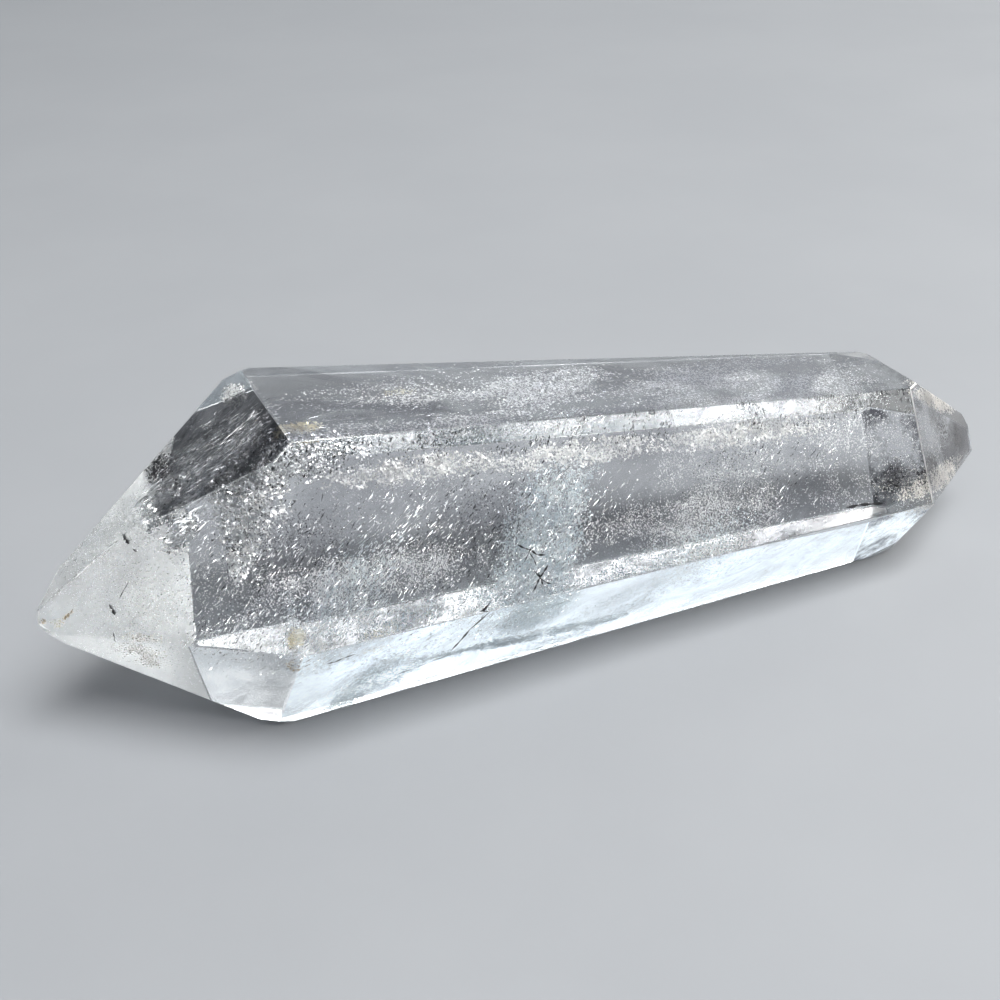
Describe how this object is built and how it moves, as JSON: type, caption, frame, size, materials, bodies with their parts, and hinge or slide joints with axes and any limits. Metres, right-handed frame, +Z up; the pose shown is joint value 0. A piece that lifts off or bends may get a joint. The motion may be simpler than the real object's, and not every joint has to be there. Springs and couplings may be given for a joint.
{
  "type": "double terminated quartz crystal",
  "caption": "Clear polished quartz point: a tapering hexagonal prism with a six-faceted point at each end.",
  "frame": {"origin": "on the resting plane, under the middle of the crystal's bounding box", "axes": "+X along the crystal, from its wide end to its narrow end; +Z up, square to the bottom prism face"},
  "size_m": [0.1, 0.0332, 0.0287],
  "materials": {
    "clear_quartz": "polished, clear with white inclusions"
  },
  "bodies": {
    "root": {"crystal": "clear_quartz"}
  },
  "joints": []
}
